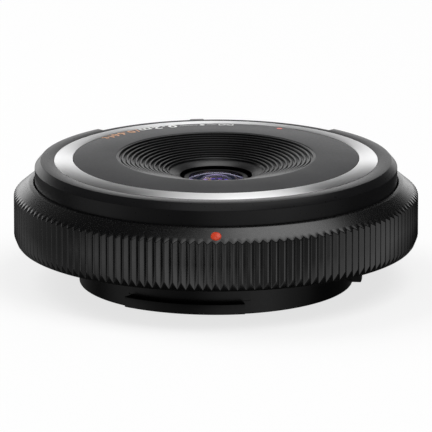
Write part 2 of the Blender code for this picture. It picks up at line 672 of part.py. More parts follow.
def radial_rod(name, radius, reach, degrees, height, look=None):
    """A cylinder that points away from the axis."""
    shape = bmesh.new()
    inner, outer = reach
    bmesh.ops.create_cone(shape, cap_ends=True, segments=PIN_STEPS, radius1=radius * MM, radius2=radius * MM,
                          depth=(outer - inner) * MM)
    turn = Matrix.Rotation(math.radians(degrees), 4, "Z")
    place = Matrix.Translation(((inner + outer) / 2 * MM, 0, height * MM))
    lay = Matrix.Rotation(math.radians(90), 4, "Y")
    bmesh.ops.transform(shape, matrix=turn @ place @ lay, verts=shape.verts)
    mesh = bpy.data.meshes.new(name)
    shape.to_mesh(mesh)
    shape.free()
    return add(name, mesh, look, PARTS if look else CUTTERS)


def make_lens(axis):
    """The lens block: barrel, cam followers, five glass elements, stop, spacer and retaining rings."""
    low, high = BARREL_Z
    profile = [
        (CELL_BORE_R, CELL_TOP_Z), (CELL_R, CELL_TOP_Z), (CELL_R, NOSE_TOP_Z), (NOSE_R, NOSE_TOP_Z),
        (NOSE_R, high),
        (BARREL_R, high), (BARREL_R, low), (NOSE_R, low), (NOSE_R, BARREL_REAR_Z), (LENS_BORE_R, BARREL_REAR_Z),
        (LENS_BORE_R, STOP_SHOULDER_Z), (STOP_SHOULDER_R, STOP_SHOULDER_Z), (STOP_SHOULDER_R, CELL_FLOOR_Z),
        (CELL_BORE_R, CELL_FLOOR_Z),
    ]
    barrel = turned("lens_barrel", profile, BLACK_PLASTIC)
    pieces = [barrel]
    for index, degrees in enumerate(FOLLOWER_ANGLES):
        name = f"cam_follower_{index + 1}"
        reach = (FOLLOWER_REACH[0] - FIT, BARREL_R + 1)
        hole = radial_rod(name + "_hole", FOLLOWER_R + FIT, reach, degrees, FOLLOWER_Z)
        boolean(barrel, hole)
        pieces.append(radial_rod(name, FOLLOWER_R, FOLLOWER_REACH, degrees, FOLLOWER_Z, BRASS))
    glass_r = LENS_BORE_R - FIT

    def ring(name, bore, radius, top, thick, look=BLACK_PLASTIC, steps=GLASS_STEPS):
        profile = [(bore, top), (radius, top), (radius, top - thick), (bore, top - thick)]
        pieces.append(turned(name, profile, look, steps))
        return top - thick - FIT

    def element(name, front, rear):
        pieces.append(turned(name, front + rear[::-1], GLASS, GLASS_STEPS))

    front_low = CELL_FLOOR_Z + FIT
    hollow = bowl(FRONT_HOLLOW, FRONT_HOLLOW_R, front_low + sagitta(FRONT_HOLLOW, FRONT_HOLLOW_R))
    element("front_element", bowl(DOME_RADIUS, FRONT_GLASS_R, DOME_Z), hollow + [(FRONT_GLASS_R, front_low)])
    top = STOP_SHOULDER_Z - FIT
    dip = sagitta(SECOND_CURVE, CLEAR_R)
    rear = top - SECOND_T
    element("second_element", bowl(-SECOND_CURVE, CLEAR_R, top - dip) + [(glass_r, top)],
            bowl(SECOND_CURVE, CLEAR_R, rear + dip) + [(glass_r, rear)])
    top = ring("aperture_stop", STOP_R, glass_r, rear - FIT, STOP_T, BLADE_BLACK)
    top = ring("spacer_ring", CLEAR_R + 2 * FIT, glass_r, top, SPACER_T)
    dip = sagitta(THIRD_CURVE, CLEAR_R)
    rear = top - THIRD_T
    element("third_element", bowl(THIRD_CURVE, CLEAR_R, top + dip) + [(glass_r, top)],
            bowl(-THIRD_CURVE, CLEAR_R, rear - dip) + [(glass_r, rear)])
    top = rear - dip - FIT
    joint = top - FLINT_T + sagitta(CEMENT_CURVE, glass_r)
    element("doublet_front", [(0, top), (glass_r, top)], bowl(CEMENT_CURVE, glass_r, joint))
    rear = top - FLINT_T - CROWN_T
    dip = sagitta(REAR_CURVE, CLEAR_R)
    element("doublet_rear", bowl(CEMENT_CURVE, glass_r, joint - CEMENT),
            bowl(-REAR_CURVE, CLEAR_R, rear - dip) + [(glass_r, rear)])
    ring("rear_retainer", CLEAR_R + 2 * FIT, glass_r, rear - FIT, RETAINER_T)
    ring("front_retainer", FRONT_GLASS_R - 0.2, CELL_R, CELL_TOP_Z + FIT + FRONT_RETAINER_T, FRONT_RETAINER_T,
         steps=INNER_STEPS)
    for piece in pieces:
        piece.parent = axis


lever_axis = empty("lever_axis")
lens_axis = empty("lens_axis", parent=lever_axis)
blade_axes = {"a": empty("blade_a_axis", -BLADE_PIVOT_R), "b": empty("blade_b_axis", BLADE_PIVOT_R)}
make_mount()
make_shell()
make_front()
make_barrier(blade_axes)
make_focus(lever_axis)
make_chassis()
make_lens(lens_axis)
bpy.context.view_layer.update()
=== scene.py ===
"""Looks of the pancake fisheye lens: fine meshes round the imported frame, finishes, floor, light and camera."""
import json
import math

import bmesh
import bpy
from mathutils import Matrix, Vector


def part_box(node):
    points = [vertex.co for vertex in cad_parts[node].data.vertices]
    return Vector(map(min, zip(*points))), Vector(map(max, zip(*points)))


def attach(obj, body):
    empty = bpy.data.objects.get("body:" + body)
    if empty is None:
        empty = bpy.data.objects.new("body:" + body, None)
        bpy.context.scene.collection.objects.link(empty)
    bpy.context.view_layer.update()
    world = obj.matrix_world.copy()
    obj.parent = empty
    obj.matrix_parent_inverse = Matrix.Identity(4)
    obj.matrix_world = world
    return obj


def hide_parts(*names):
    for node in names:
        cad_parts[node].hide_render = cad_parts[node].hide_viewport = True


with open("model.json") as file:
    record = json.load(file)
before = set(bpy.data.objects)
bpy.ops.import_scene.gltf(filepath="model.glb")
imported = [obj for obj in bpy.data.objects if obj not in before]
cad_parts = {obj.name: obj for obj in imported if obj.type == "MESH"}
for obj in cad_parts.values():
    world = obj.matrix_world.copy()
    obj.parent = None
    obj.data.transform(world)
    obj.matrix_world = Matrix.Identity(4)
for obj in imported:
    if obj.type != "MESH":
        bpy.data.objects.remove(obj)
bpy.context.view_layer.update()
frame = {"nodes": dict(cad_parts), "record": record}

MM = 0.001
ROUND = 192               # facets round a large turned piece


def corner(name):
    """Lowest and highest corner of a node in millimetres."""
    low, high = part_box(name)
    return [c / MM for c in low], [c / MM for c in high]


# Sizes that the frame holds, in millimetres
GRIP_LOW, GRIP_HIGH = corner("grip_shell")
COVER_LOW, COVER_HIGH = corner("front_cover")
TRIM_LOW, TRIM_HIGH = corner("trim_ring")
FACE_LOW, FACE_HIGH = corner("name_ring")
MOUNT_LOW, MOUNT_HIGH = corner("mount_plate")
BAFFLE_LOW, BAFFLE_HIGH = corner("rear_baffle")
KNOB_LOW, KNOB_HIGH = corner("focus_knob")
GLASS_LOW, GLASS_HIGH = corner("front_element")
CELL_LOW, CELL_HIGH = corner("front_retainer")
BARREL_LOW, BARREL_HIGH = corner("lens_barrel")
SCREW_LOW, SCREW_HIGH = corner("mount_screw_1")
COVER_SCREW_LOW, COVER_SCREW_HIGH = corner("cover_screw_3")

GRIP_R = GRIP_HIGH[0]
RIBS = 148
RIB_DEPTH = 0.41
SHOULDER_R = 25.9
SHOULDER_SLOPE = 0.829
MOUTH_R = 25.29
SHOULDER_Z = GRIP_HIGH[2] - 0.1
FOOT_R = 27.5
FOOT_Z = GRIP_LOW[2]
FOOT_SLOPE = 2.52
BAND_R = 23.2
WINDOW_HALF_ANGLE = 43.0
WINDOW_FLOOR_Z = 15.4
LEVER_ANGLE = 96.2
HOOD_RIBS = 11


# ---------------------------------------------------------------- small tools

def linear(code):
    """An sRGB hex colour as linear values with alpha."""
    parts = [int(code[i:i + 2], 16) / 255 for i in (0, 2, 4)]
    return [c / 12.92 if c <= 0.04045 else ((c + 0.055) / 1.055) ** 2.4 for c in parts] + [1.0]


def node(tree, kind, inputs=None, **settings):
    """Adds a node, sets its properties, and fills its sockets with values or links."""
    new = tree.nodes.new(kind)
    for key, value in settings.items():
        setattr(new, key, value)
    for key, value in (inputs or {}).items():
        if isinstance(value, bpy.types.NodeSocket):
            tree.links.new(value, new.inputs[key])
        else:
            new.inputs[key].default_value = value
    return new


def finish(name, **sockets):
    """A material with one Principled shader, whose constant values are set on its own sockets."""
    material = bpy.data.materials.new(name)
    material.use_nodes = True
    tree = material.node_tree
    shader = tree.nodes["Principled BSDF"]
    for key, value in sockets.items():
        shader.inputs[key.replace("_", " ")].default_value = value
    place = node(tree, "ShaderNodeTexCoord").outputs["Object"]
    return material, tree, shader, place


def grain(tree, place, size, detail=3.0, rough=0.6):
    """Noise whose lumps are about that many millimetres across."""
    return node(tree, "ShaderNodeTexNoise", {"Vector": place, "Scale": 0.5 / (size * MM), "Detail": detail,
                                             "Roughness": rough}).outputs["Fac"]


def spread(tree, value, low, high):
    """A 0 to 1 pattern stretched to other limits."""
    return node(tree, "ShaderNodeMapRange", {"Value": value, "From Min": 0.3, "From Max": 0.7, "To Min": low,
                                             "To Max": high}).outputs["Result"]


def tint(tree, value, dark, light):
    """A 0 to 1 pattern as a blend of two hex colours."""
    mix = node(tree, "ShaderNodeMix", data_type="RGBA")
    tree.links.new(spread(tree, value, 0.0, 1.0), mix.inputs["Factor"])
    mix.inputs["A"].default_value = linear(dark)
    mix.inputs["B"].default_value = linear(light)
    return mix.outputs["Result"]


def bump(tree, shader, height, strength, depth):
    """Relief of a depth in millimetres."""
    relief = node(tree, "ShaderNodeBump", {"Height": height, "Strength": strength, "Distance": depth * MM})
    tree.links.new(relief.outputs["Normal"], shader.inputs["Normal"])


def radius_of(tree, place):
    """Distance from the optical axis."""
    flat = node(tree, "ShaderNodeVectorMath", {0: place, 1: (1.0, 1.0, 0.0)}, operation="MULTIPLY")
    return node(tree, "ShaderNodeVectorMath", {0: flat.outputs["Vector"]}, operation="LENGTH").outputs["Value"]


# ---------------------------------------------------------------- finishes

def moulded_polycarbonate(name, dark, light, roughness, specular, relief=0.02):
    """Black glass-filled polycarbonate from a spark-eroded mould: a fine even grain that breaks the highlight up.
    The grain is drawn at 0.2 mm, coarser than the real 0.04 mm, so that it shows."""
    material, tree, shader, place = finish(name, IOR=1.5, Specular_IOR_Level=specular)
    fine = grain(tree, place, 0.2)
    broad = grain(tree, place, 3.0, 2.0)
    tree.links.new(tint(tree, broad, dark, light), shader.inputs["Base Color"])
    tree.links.new(spread(tree, fine, roughness - 0.03, roughness + 0.03), shader.inputs["Roughness"])
    bump(tree, shader, fine, relief, 0.006)
    return material


def turned_aluminium(name):
    """Bright turned aluminium with a clear lacquer: rings of tool marks 0.05 mm apart, drawn at 0.28 mm so that
    they show, which stretch the highlights across the ring."""
    material, tree, shader, place = finish(name, Metallic=1.0, Anisotropic=0.95, Anisotropic_Rotation=0.25)
    around = node(tree, "ShaderNodeTangent", direction_type="RADIAL", axis="Z").outputs["Tangent"]
    tree.links.new(around, shader.inputs["Tangent"])
    radius = radius_of(tree, place)
    rings = node(tree, "ShaderNodeMath", {0: radius, 1: 2 * math.pi / (0.28 * MM)}, operation="MULTIPLY")
    marks = node(tree, "ShaderNodeMath", {0: rings.outputs[0]}, operation="SINE").outputs[0]
    smudge = grain(tree, place, 2.5, 3.0)
    tree.links.new(tint(tree, smudge, "ebebec", "f2f2f2"), shader.inputs["Base Color"])
    tree.links.new(spread(tree, smudge, 0.33, 0.36), shader.inputs["Roughness"])
    bump(tree, shader, marks, 0.05, 0.004)
    return material


def blackened_metal(name):
    """Chemically blackened brass and steel sheet: matt, with a faint rolled grain 0.3 mm across."""
    material, tree, shader, place = finish(name, Metallic=0.4, Specular_IOR_Level=0.3)
    cloud = grain(tree, place, 0.3, 4.0)
    tree.links.new(tint(tree, cloud, "101011", "1c1c1d"), shader.inputs["Base Color"])
    tree.links.new(spread(tree, cloud, 0.42, 0.58), shader.inputs["Roughness"])
    bump(tree, shader, cloud, 0.1, 0.003)
    return material


def coated_glass(name, depth, dark, light):
    """Polished optical glass with a magenta anti-reflection coating: the film gives violet reflections, and the violet
    base colour is painted reflection, the coating's reflected colour put into the glass itself.
    """
    material, tree, shader, place = finish(name, IOR=1.62, Roughness=0.0, Transmission_Weight=1.0,
                                           Thin_Film_Thickness=depth, Thin_Film_IOR=1.38)
    # painted reflection: the violet base colour stands in for the coating's reflected colour; clear optical glass has
    # no such tint
    tree.links.new(tint(tree, grain(tree, place, 4.0, 1.0), dark, light), shader.inputs["Base Color"])
    return material


def enamel(name, dark, light):
    """Filled enamel paint: glossy, with a slight orange peel of 0.3 mm."""
    material, tree, shader, place = finish(name, IOR=1.5, Roughness=0.3)
    peel = grain(tree, place, 0.3, 2.0)
    tree.links.new(tint(tree, peel, dark, light), shader.inputs["Base Color"])
    bump(tree, shader, peel, 0.2, 0.01)
    return material


def machined(name, dark, light, metallic, low, high):
    """Small machined metal pieces: turned or pressed, with a 0.15 mm grain."""
    material, tree, shader, place = finish(name, Metallic=metallic)
    fine = grain(tree, place, 0.15, 4.0)
    tree.links.new(tint(tree, fine, dark, light), shader.inputs["Base Color"])
    tree.links.new(spread(tree, fine, low, high), shader.inputs["Roughness"])
    bump(tree, shader, fine, 0.15, 0.004)
    return material


GRIP_BLACK = moulded_polycarbonate("grip polycarbonate", "090909", "0b0b0c", 0.26, 0.75, 0.01)
COVER_BLACK = moulded_polycarbonate("cover polycarbonate", "161617", "19191a", 0.30, 0.22)
# painted sheen: the face ring's base colour is a light grey that stands in for the sheen of its flat face, with its
# specular kept low; the plastic itself is black like the hood
FACE_PAINTED_SHEEN = moulded_polycarbonate("face polycarbonate with painted sheen", "434344", "49494a", 0.45, 0.07, 0.10)
HOOD_BLACK = moulded_polycarbonate("hood polycarbonate", "060607", "09090a", 0.30, 0.42)
MOUNT_BLACK = moulded_polycarbonate("mount polycarbonate", "0b0b0c", "0e0e0f", 0.32, 0.24)
INNER_BLACK = moulded_polycarbonate("inner polycarbonate", "09090a", "0c0c0d", 0.5, 0.3)
SILVER = turned_aluminium("turned aluminium")
BLADE_METAL = blackened_metal("blackened sheet")
FRONT_GLASS = coated_glass("coated front glass", 430.0, "b7a6e6", "cabdf0")
INNER_GLASS = coated_glass("coated inner glass", 420.0, "a896de", "bfb0ec")
DOT_RED = enamel("red enamel", "d63a16", "e0451e")
MARK_WHITE = enamel("white enamel", "e6e6e4", "f2f2f0")
MARK_ORANGE = enamel("orange enamel", "c07a34", "cd853c")
SPRING_STEEL = machined("spring steel", "a8aaac", "c2c4c6", 1.0, 0.25, 0.4)
BLACK_SCREW = machined("black zinc screw", "161617", "29292a", 0.7, 0.3, 0.45)
BRASS = machined("turned brass", "a98445", "c39c58", 1.0, 0.25, 0.4)


# ---------------------------------------------------------------- shapes

def settle(obj, look, body, nodes=(), sharp=32.0):
    """Gives a finished piece its material, shading and body, and hides the nodes that it stands for."""
    if look is not None and not obj.data.materials:
        obj.data.materials.append(look)
    obj.data.shade_smooth()
    obj.data.set_sharp_from_angle(angle=math.radians(sharp))
    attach(obj, body)
    if nodes:
        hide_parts(*nodes)
    return obj


def link(name, mesh):
    """A new object for a mesh, in the scene."""
    obj = bpy.data.objects.new(name, mesh)
    bpy.context.scene.collection.objects.link(obj)
    return obj


def to_mesh(shape, name):
    """A bmesh as a mesh with its doubles merged and its faces pointing out."""
    bmesh.ops.remove_doubles(shape, verts=shape.verts, dist=0.0000005)
    bmesh.ops.recalc_face_normals(shape, faces=shape.faces)
    mesh = bpy.data.meshes.new(name)
    shape.to_mesh(mesh)
    shape.free()
    return mesh


def rounded(points, radius, segments=3):
    """A closed section with its corners rounded; a corner's own radius may follow its two numbers."""
    result = []
    count = len(points)
    for index, point in enumerate(points):
        here = Vector(point[:2])
        before = Vector(points[index - 1][:2]) - here
        after = Vector(points[(index + 1) % count][:2]) - here
        size = point[2] if len(point) > 2 else radius
        angle = before.angle(after)
        if size == 0 or math.pi - angle < 0.02:
            result.append(tuple(here))
            continue
        reach = min(size / math.tan(angle / 2), before.length * 0.45, after.length * 0.45)
        size = reach * math.tan(angle / 2)
        middle = (before.normalized() + after.normalized()).normalized() * (size / math.sin(angle / 2))
        start = before.normalized() * reach - middle
        finish_at = after.normalized() * reach - middle
        for step in range(segments + 1):
            spoke = start.slerp(finish_at, step / segments).normalized() * size
            result.append(tuple(here + middle + spoke))
    return result


def lathe_mesh(name, section, steps=ROUND, start=0.0, span=360.0):
    """A closed section in (radius, height) turned round the axis."""
    shape = bmesh.new()
    rings = []
    whole = span >= 360.0
    for step in range(steps if whole else steps + 1):
        angle = math.radians(start + span * step / steps)
        rings.append([shape.verts.new((r * MM * math.cos(angle), r * MM * math.sin(angle), z * MM))
                      for r, z in section])
    count = len(section)
    for step in range(steps):
        here, there = rings[step], rings[(step + 1) % len(rings)]
        for index in range(count):
            after = (index + 1) % count
            if section[index][0] < 1e-6 and section[after][0] < 1e-6:
                continue
            shape.faces.new((here[index], here[after], there[after], there[index]))
    if not whole:
        shape.faces.new(rings[0])
        shape.faces.new(rings[-1][::-1])
    bmesh.ops.dissolve_degenerate(shape, dist=0.0000002, edges=shape.edges)
    return to_mesh(shape, name)


def box_mesh(name, size, centre, turn=0.0, edge=0.0):
    """A block with rounded edges, turned about +Z, given in its turned axes."""
    shape = bmesh.new()
    bmesh.ops.create_cube(shape, size=MM)
    bmesh.ops.scale(shape, vec=size, verts=shape.verts)
    if edge:
        bmesh.ops.bevel(shape, geom=shape.edges, offset=edge * MM, segments=4, profile=0.5, affect="EDGES")
    bmesh.ops.translate(shape, vec=[c * MM for c in centre], verts=shape.verts)
    spin = Matrix.Rotation(math.radians(turn), 3, "Z")
    bmesh.ops.rotate(shape, cent=(0, 0, 0), matrix=spin, verts=shape.verts)
    return to_mesh(shape, name)


def combined(mesh, operations):
    """A mesh after Booleans with other meshes, given as (operation, mesh) pairs."""
    obj = link("work", mesh)
    helpers = []
    for operation, other in operations:
        helper = link("helper", other)
        helpers.append(helper)
        modifier = obj.modifiers.new("Boolean", "BOOLEAN")
        modifier.operation = operation
        modifier.solver = "EXACT"
        modifier.object = helper
    bpy.context.view_layer.update()
    result = bpy.data.meshes.new_from_object(obj.evaluated_get(bpy.context.evaluated_depsgraph_get()))
    result.name = mesh.name
    for helper in helpers + [obj]:
        bpy.data.objects.remove(helper, do_unlink=True)
    return result


def ring_tree():
    """Geometry Nodes that set copies of a shape evenly round the axis."""
    tree = bpy.data.node_groups.new("Copies round the axis", "GeometryNodeTree")
    face = tree.interface
    face.new_socket("Shape", in_out="INPUT", socket_type="NodeSocketGeometry")
    face.new_socket("Count", in_out="INPUT", socket_type="NodeSocketInt").default_value = 3
    face.new_socket("First angle", in_out="INPUT", socket_type="NodeSocketFloat")
    face.new_socket("Weld distance", in_out="INPUT", socket_type="NodeSocketFloat").default_value = 0.0000005
    face.new_socket("Material", in_out="INPUT", socket_type="NodeSocketMaterial")
    face.new_socket("Ring", in_out="OUTPUT", socket_type="NodeSocketGeometry")
    given = node(tree, "NodeGroupInput").outputs
    line = node(tree, "GeometryNodeMeshLine", {"Count": given["Count"], "Offset": (0, 0, 0)})
    index = node(tree, "GeometryNodeInputIndex").outputs["Index"]
    step = node(tree, "ShaderNodeMath", {0: 2 * math.pi, 1: given["Count"]}, operation="DIVIDE").outputs[0]
    turn = node(tree, "ShaderNodeMath", {0: index, 1: step, 2: given["First angle"]}, operation="MULTIPLY_ADD")
    spin = node(tree, "ShaderNodeCombineXYZ", {"Z": turn.outputs[0]}).outputs[0]
    copies = node(tree, "GeometryNodeInstanceOnPoints",
                  {"Points": line.outputs[0], "Instance": given["Shape"], "Rotation": spin})
    real = node(tree, "GeometryNodeRealizeInstances", {"Geometry": copies.outputs[0]})
    weld = node(tree, "GeometryNodeMergeByDistance", {"Geometry": real.outputs[0], "Distance": given["Weld distance"]})
    painted = node(tree, "GeometryNodeSetMaterial", {"Geometry": weld.outputs[0], "Material": given["Material"]})
    node(tree, "NodeGroupOutput", {"Ring": painted.outputs[0]})
    return tree


COPIES = ring_tree()


def ring_of(name, mesh, count, look, first=0.0):
    """A plain mesh object of copies of a shape round the axis."""
    obj = link(name, mesh)
    modifier = obj.modifiers.new("Copies", "NODES")
    modifier.node_group = COPIES
    values = {"Count": count, "First angle": math.radians(first), "Material": look}
    for item in COPIES.interface.items_tree:
        if item.name in values:
            modifier[item.identifier] = values[item.name]
    bpy.context.view_layer.update()
    plain = bpy.data.meshes.new_from_object(obj.evaluated_get(bpy.context.evaluated_depsgraph_get()))
    obj.modifiers.remove(modifier)
    obj.data = plain
    plain.name = name
    return obj


# ---------------------------------------------------------------- grip

def rib_radius(part):
    """Radius of the grip wall across one pitch, from the middle of one groove (0) to the next (1)."""
    flank = 0.424
    away = min(part, 1 - part)
    soft = 0.035
    if away < soft:
        return GRIP_R - RIB_DEPTH * (1 - (soft / 2 + away * away / (2 * soft)) / flank)
    if away < flank - soft:
        return GRIP_R - RIB_DEPTH * (1 - away / flank)
    if away < flank + soft:
        short = flank + soft - away
        return GRIP_R - RIB_DEPTH * short * short / (4 * soft * flank)
    return GRIP_R


def grip_sector():
    """One rib and the half groove on each side of it, with the shoulder above and the foot below."""
    inner = GRIP_R - 1.75
    pitch = 2 * math.pi / RIBS
    parts = [0.0, 0.018, 0.04, 0.21, 0.385, 0.405, 0.43, 0.46, 0.5]
    parts += [1 - p for p in parts[-2::-1]]
    shape = bmesh.new()
    columns = []
    for part in parts:
        wall = rib_radius(part)
        top = SHOULDER_Z - SHOULDER_SLOPE * (wall - SHOULDER_R)
        low = FOOT_Z + FOOT_SLOPE * (wall - FOOT_R)
        section = [
            (MOUTH_R, GRIP_HIGH[2] - 0.04), (MOUTH_R + 0.04, GRIP_HIGH[2]), (SHOULDER_R - 0.04, SHOULDER_Z + 0.02),
            (SHOULDER_R + 0.06, SHOULDER_Z - 0.045), (27.2, SHOULDER_Z - SHOULDER_SLOPE * (27.2 - SHOULDER_R)),
            (wall - 0.07, top + 0.055), (wall - 0.02, top - 0.02), (wall, top - 0.1), (wall, (top + low) / 2),
            (wall, low + 0.06), (wall - 0.02, low - 0.04), (FOOT_R + 0.10, FOOT_Z + 0.27),
            (FOOT_R - 0.01, FOOT_Z + 0.13), (FOOT_R - 0.08, FOOT_Z + 0.04), (FOOT_R - 0.2, FOOT_Z), (26.9, FOOT_Z), (26.9, 6.7), (inner, 6.7), (inner, 12.85), (MOUTH_R, 12.85),
        ]
        angle = pitch * (part - 0.5)
        columns.append([shape.verts.new((r * MM * math.cos(angle), r * MM * math.sin(angle), z * MM))
                        for r, z in section])
    for here, there in zip(columns, columns[1:]):
        for index in range(len(here)):
            after = (index + 1) % len(here)
            shape.faces.new((here[index], there[index], there[after], here[after]))
    mesh = bpy.data.meshes.new("grip sector")
    shape.to_mesh(mesh)
    shape.free()
    return mesh


def make_grip():
    """The ribbed grip with its sloping shoulder, and the domed index dot in its seat."""
    grip = ring_of("ribbed_grip", grip_sector(), RIBS, GRIP_BLACK, 270.0)
    shape = bmesh.new()
    shape.from_mesh(grip.data)
    bmesh.ops.recalc_face_normals(shape, faces=shape.faces)
    shape.to_mesh(grip.data)
    shape.free()
    settle(grip, GRIP_BLACK, "housing", ["grip_shell"], 30.0)
    dot_r = 0.765
    dome = [(0.0, 0.12), (0.3, 0.105), (0.55, 0.065), (0.70, 0.015), (dot_r - 0.01, -0.05), (dot_r, -0.12),
            (dot_r, -0.35), (0.0, -0.35)]
    mesh = lathe_mesh("index_mark", dome, 40)
    away = 26.95
    height = SHOULDER_Z - SHOULDER_SLOPE * (away - SHOULDER_R)
    lean = Matrix.Rotation(math.atan(SHOULDER_SLOPE), 4, "X")
    mesh.transform(Matrix.Translation((0, -away * MM, height * MM)) @ lean)
    settle(link("index_mark", mesh), DOT_RED, "housing", ["index_dot"], 60.0)


# ---------------------------------------------------------------- front

def make_front():
    """The front cover with its lever window and slot, and the bright trim ring."""
    wall = 24.3
    section = rounded([
        (22.43, COVER_HIGH[2] + 0.0, 0.05), (24.30, 17.12, 0.12), (25.09, 16.17, 0.12), (25.09, 12.7),
        (26.0, 12.7), (26.0, 11.9), (wall, 11.9), (wall, 14.7), (19.1, 14.7), (19.1, 16.65), (22.43, 16.65, 0.0),
    ], 0.04)
    cover = lathe_mesh("cover", section, 288)
    half = WINDOW_HALF_ANGLE
    window = lathe_mesh("window", [(BAND_R, WINDOW_FLOOR_Z), (27.0, WINDOW_FLOOR_Z), (27.0, 18.5), (BAND_R, 18.5)],
                        64, 90 - half, 2 * half)
    slot = lathe_mesh("slot", [(23.55, 14.0), (24.25, 14.0), (24.25, 16.2), (23.55, 16.2)], 48, 59.6, 58.8)
    fine = combined(cover, [("DIFFERENCE", window), ("DIFFERENCE", slot)])
    settle(link("front_shell", fine), COVER_BLACK, "housing", ["front_cover"], 28.0)
    trim = rounded([
        (19.82, TRIM_LOW[2]), (22.38, TRIM_LOW[2]), (22.38, 17.15, 0.05), (19.82, TRIM_HIGH[2], 0.05),
    ], 0.03)
    settle(link("bright_trim", lathe_mesh("bright_trim", trim, 288)), SILVER, "housing", ["trim_ring"])


def hood_section():
    """The hood's inner side, from its mouth down to the throat: flat-topped ridges with a groove after each."""
    top = (13.7, 17.60)
    low = (6.75, 15.75)
    step = (top[0] - low[0]) / HOOD_RIBS
    fall = (top[1] - low[1]) / HOOD_RIBS
    points = []
    for index in range(HOOD_RIBS):
        radius = top[0] - step * index
        height = top[1] - fall * index
        points += [(radius, height - 0.03), (radius - 0.03, height), (radius - 0.24, height - 0.01),
                   (radius - 0.28, height - 0.05), (radius - 0.31, height - 0.36), (radius - 0.38, height - 0.42),
                   (radius - 0.56, height - 0.43), (radius - 0.62, height - 0.38)]
    return points + [low]


def make_face():
    """The face ring and its hood."""
    outer = [
        (19.75, 17.39), (19.75, 16.7), (19.0, 16.7), (19.0, 14.5), (15.95, 14.5),
        (15.95, 14.86), (5.0, 14.86), (5.0, 15.0), (6.0, 15.43), (6.45, 15.47), (6.6, 15.71),
    ]
    mouth = [(13.78, 17.64), (13.86, 17.658), (14.0, 17.66), (14.25, 17.649)]
    section = outer + hood_section()[::-1] + mouth
    section.append((19.70, 17.412))
    mesh = lathe_mesh("face_and_hood", section, 240)
    obj = link("face_and_hood", mesh)
    mesh.materials.append(FACE_PAINTED_SHEEN)
    mesh.materials.append(HOOD_BLACK)
    # painted sheen: the flat face takes the light grey material, and the hood inside radius 13.75 mm takes the darker
    # black
    for face in mesh.polygons:
        middle = face.center / MM
        if math.hypot(middle.x, middle.y) < 13.75:
            face.material_index = 1
    settle(obj, FACE_PAINTED_SHEEN, "housing", ["name_ring"], 40.0)


def face_height(radius):
    """Height of the name face's shallow cone at a radius."""
    return 17.412 + (19.70 - radius) * (17.649 - 17.412) / (19.70 - 14.25)


def lay_on_face(name, flat, look, thick=0.014):
    """Gives flat outlines, as lists of (x, y), a small thickness on the face's cone."""
    shape = bmesh.new()
    for outline in flat:
        rows = []
        for lift in (-0.02, thick):
            rows.append([shape.verts.new((x * MM, y * MM, (face_height(math.hypot(x, y)) + lift) * MM))
                         for x, y in outline])
        count = len(outline)
        for index in range(count):
            after = (index + 1) % count
            shape.faces.new((rows[0][index], rows[0][after], rows[1][after], rows[1][index]))
        shape.faces.new(rows[1])
        shape.faces.new(rows[0][::-1])
    settle(link(name, to_mesh(shape, name)), look, "housing")


def polar(radius, degrees):
    """The point at a radius and an angle from +X."""
    return radius * math.cos(math.radians(degrees)), radius * math.sin(math.radians(degrees))


def disc(radius, away, degrees, count=24):
    """A round outline centred at a radius and angle."""
    x, y = polar(away, degrees)
    return [(x + radius * math.cos(2 * math.pi * i / count), y + radius * math.sin(2 * math.pi * i / count))
            for i in range(count)]


def stripe(away, start, end, width, count=12):
    """A curved bar along the scale."""
    angles = [start + (end - start) * i / count for i in range(count + 1)]
    return [polar(away + width / 2, a) for a in angles] + [polar(away - width / 2, a) for a in angles[::-1]]


SCALE_R = 18.85


def infinity_sign(degrees, wide=1.0, tall=0.42, stroke=0.17, count=40):
    """Short quads along a figure of eight, as outlines on the scale."""
    def at(turn):
        along = wide * math.cos(turn)
        up = tall * math.sin(2 * turn)
        return along, up
    outlines = []
    for index in range(count):
        quad = []
        for turn, side in ((index, 1), (index + 1, 1), (index + 1, -1), (index, -1)):
            t = 2 * math.pi * turn / count + math.pi / 2
            x, y = at(t)
            dx, dy = -wide * math.sin(t), 2 * tall * math.cos(2 * t)
            length = math.hypot(dx, dy)
            x += -dy / length * side * stroke / 2
            y += dx / length * side * stroke / 2
            away = SCALE_R - y
            quad.append(polar(away, degrees + math.degrees(x / SCALE_R)))
        outlines.append(quad)
    return outlines


def letter_mesh(letter, size):
    """One flat glyph with a little thickness, its left edge at zero, and its width in millimetres."""
    curve = bpy.data.curves.new("letter", "FONT")
    curve.body = letter
    curve.size = size * MM
    curve.offset = 0.045 * MM
    curve.extrude = 0.017 * MM
    curve.resolution_u = 4
    work = link("letter", curve)
    bpy.context.view_layer.update()
    mesh = bpy.data.meshes.new_from_object(work.evaluated_get(bpy.context.evaluated_depsgraph_get()))
    bpy.data.objects.remove(work, do_unlink=True)
    left = min(v.co.x for v in mesh.vertices)
    mesh.transform(Matrix.Translation((-left, 0, 0)))
    return mesh, max(v.co.x for v in mesh.vertices) / MM


def scale_text(name, words, start, end, look, size=2.0, gap=0.24):
    """Numbers that follow the scale between two angles, read from the lever's side: their tops point to the axis."""
    letters = [letter_mesh(letter, size) for letter in words]
    natural = sum(width for _, width in letters) + gap * (len(words) - 1)
    stretch_by = math.radians(end - start) * SCALE_R / natural
    shape = bmesh.new()
    pen = 0.0
    for mesh, width in letters:
        for vert in mesh.vertices:
            along = (pen + vert.co.x / MM) * stretch_by
            away = SCALE_R - (vert.co.y / MM - 0.36 * size)
            x, y = polar(away, start + math.degrees(along / SCALE_R))
            vert.co = (x * MM, y * MM, (face_height(away) - 0.003) * MM + vert.co.z)
        shape.from_mesh(mesh)
        bpy.data.meshes.remove(mesh)
        pen += width + gap
    settle(link(name, to_mesh(shape, name)), look, "housing")


